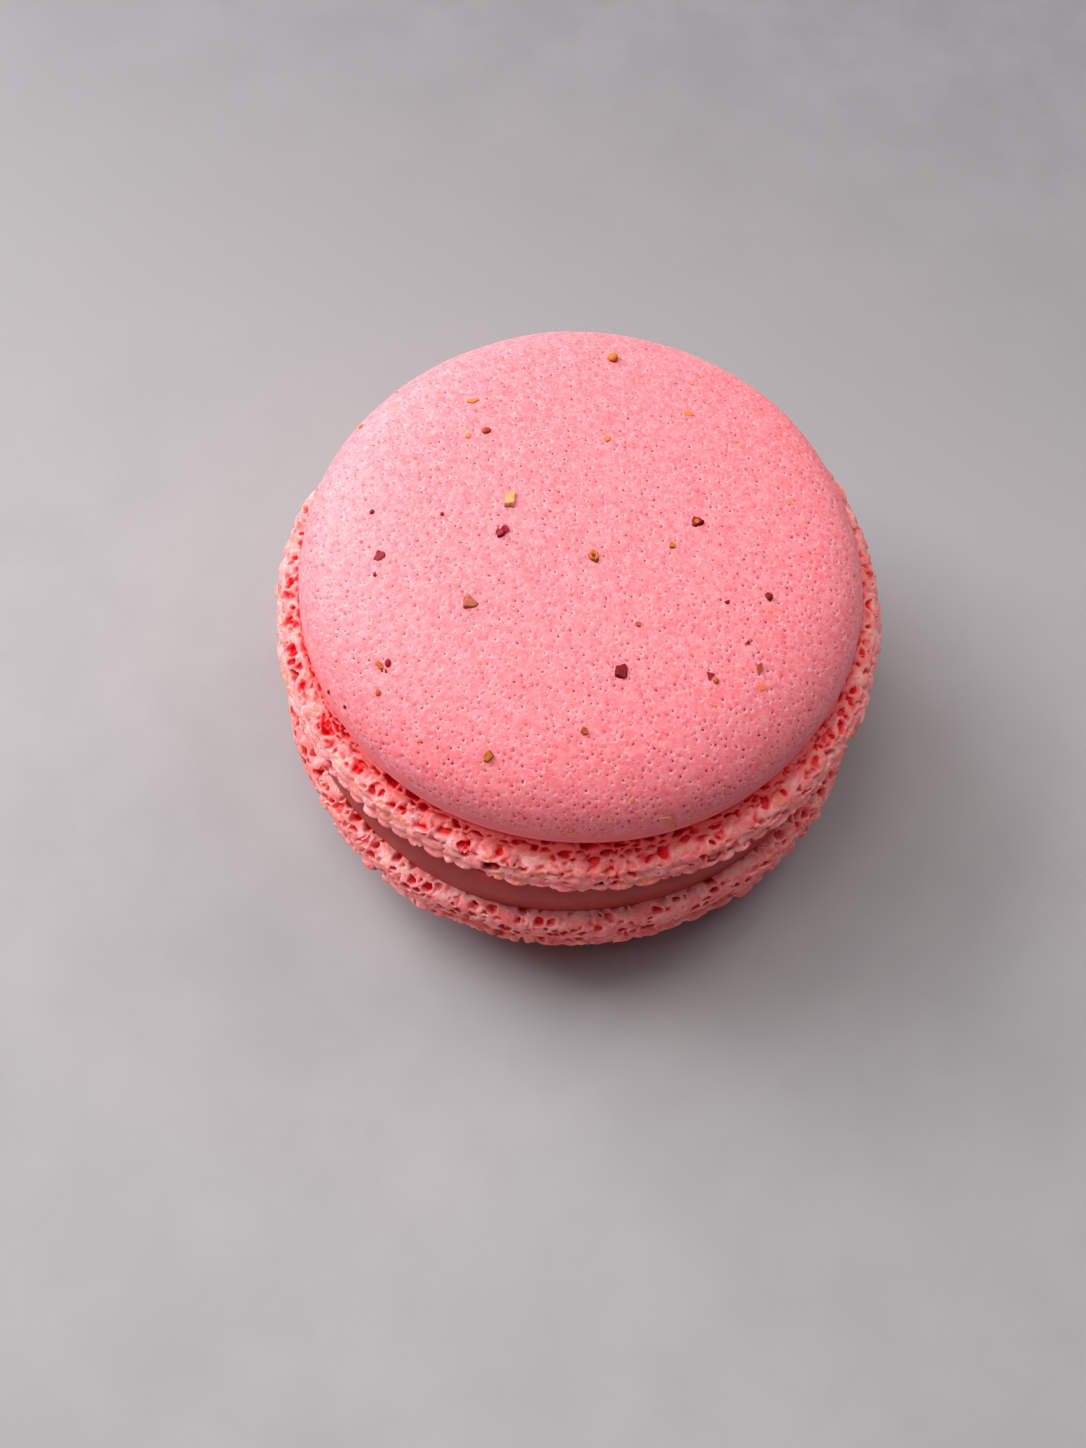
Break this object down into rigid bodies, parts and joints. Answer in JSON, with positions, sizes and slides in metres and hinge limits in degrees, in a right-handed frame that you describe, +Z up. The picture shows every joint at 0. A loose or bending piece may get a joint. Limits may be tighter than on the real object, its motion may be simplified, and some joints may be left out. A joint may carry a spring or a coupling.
{
  "type": "french macaron",
  "caption": "Round domed sandwich biscuit: smooth pink meringue shells with ruffled porous feet round a recessed band of rosy filling.",
  "frame": {"origin": "under the middle of the bounding box, on the surface that it rests on", "axes": "+Z up through the stacked shells; -Y towards the side where the filling and the bottom shell's foot show most; +X to the right seen from there, the side where the top shell sits lower"},
  "size_m": [0.045, 0.0466, 0.0243],
  "materials": {
    "shell": "matte baked meringue crust, cool pink, with fine pinholes; the foot is porous, a little warmer, deep red in its pits",
    "filling": "smooth satin ganache, dusty brown rose"
  },
  "bodies": {
    "root": {"shell_bottom": "shell", "filling": "filling", "shell_top": "shell"}
  },
  "joints": []
}
